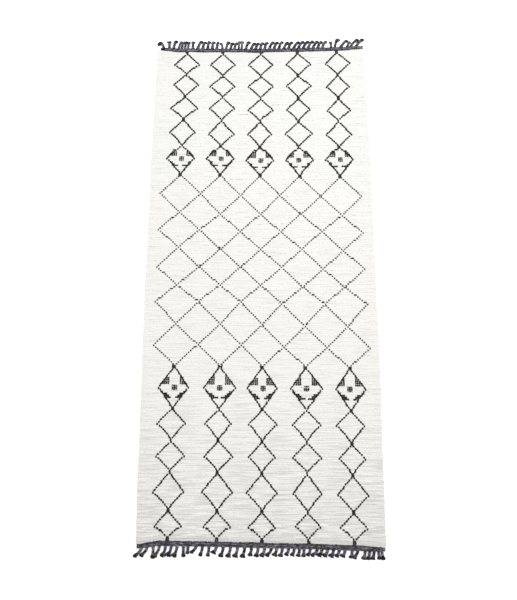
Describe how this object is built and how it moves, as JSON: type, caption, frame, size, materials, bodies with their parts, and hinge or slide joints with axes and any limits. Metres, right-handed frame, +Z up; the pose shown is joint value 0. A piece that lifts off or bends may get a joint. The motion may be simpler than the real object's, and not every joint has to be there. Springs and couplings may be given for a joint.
{
  "type": "beni ourain rug",
  "caption": "Long hand-knotted ivory wool rug lying flat, with dark diamond columns, dark twined end bands and short tassels.",
  "frame": {"origin": "on the floor, under the middle of the whole rug, tassels included", "axes": "+Y along the rug's length towards its far end, +X across it, +Z up out of the pile"},
  "size_m": [1.5424, 3.547, 0.0158],
  "materials": {
    "ivory_wool": "knotted wool pile, matt",
    "charcoal_wool": "twined wool yarn, matt"
  },
  "bodies": {
    "root": {"rug_pile": "ivory_wool", "end_band_near": "charcoal_wool", "end_band_far": "charcoal_wool"}
  },
  "joints": []
}
